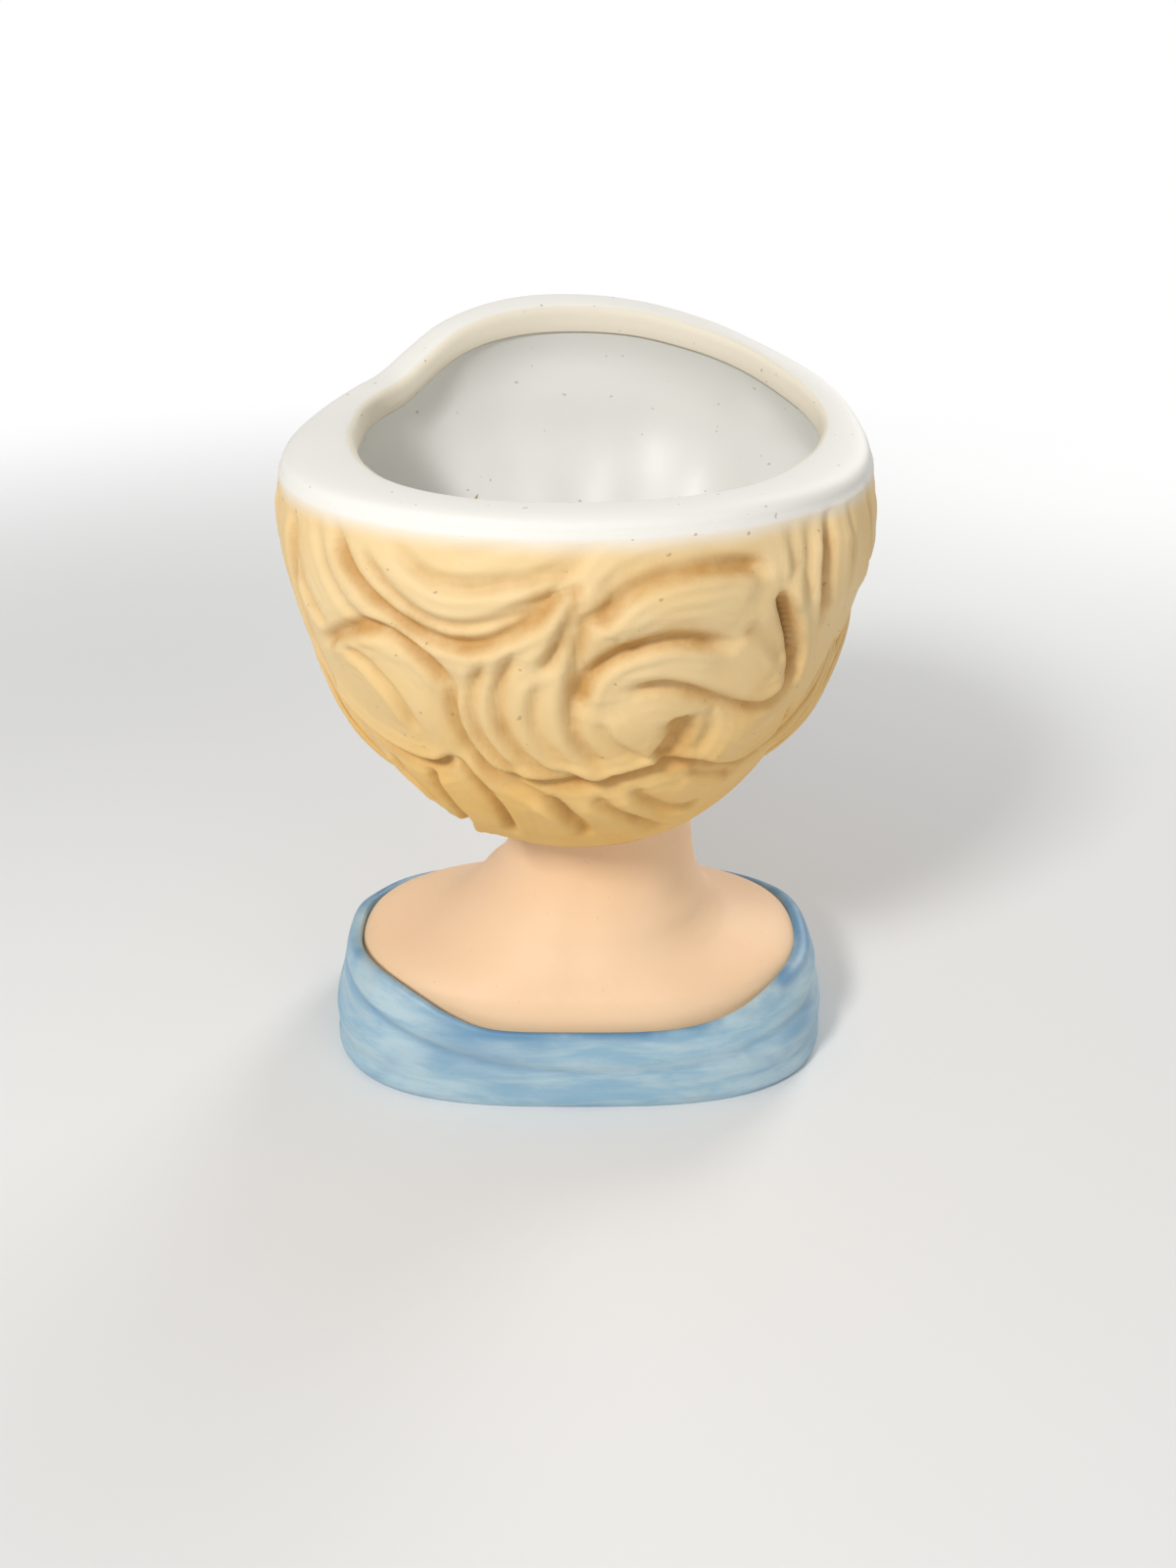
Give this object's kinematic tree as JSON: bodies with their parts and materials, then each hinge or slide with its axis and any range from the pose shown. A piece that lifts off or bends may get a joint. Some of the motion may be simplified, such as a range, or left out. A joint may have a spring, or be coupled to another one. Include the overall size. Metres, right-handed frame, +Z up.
{
  "type": "head planter",
  "caption": "Bisque head planter: a lady's head with upswept ochre hair, open at the crown, on bare shoulders in a blue off-the-shoulder dress.",
  "frame": {"origin": "centre of the foot, on the surface that the planter stands on", "axes": "+Z up, -Y the way the face looks, +X towards the figure's own left"},
  "size_m": [0.1077, 0.1027, 0.1467],
  "materials": {
    "hair_bisque": "matte",
    "rim_bisque": "matte",
    "skin_bisque": "matte",
    "dress_bisque": "satin",
    "raw_bisque": "matte",
    "inner_glaze": "gloss"
  },
  "bodies": {
    "root": {"mouth_rim": "rim_bisque", "hair_cap": "hair_bisque", "face": "skin_bisque", "neck_and_shoulders": "skin_bisque", "dress": "dress_bisque", "base_floor": "raw_bisque", "glaze_lining": "inner_glaze", "crown_waves": "hair_bisque", "back_swirl": "hair_bisque", "nape_roll": "hair_bisque", "side_locks": "hair_bisque", "front_wave": "hair_bisque", "cheek_curls": "hair_bisque"}
  },
  "joints": []
}
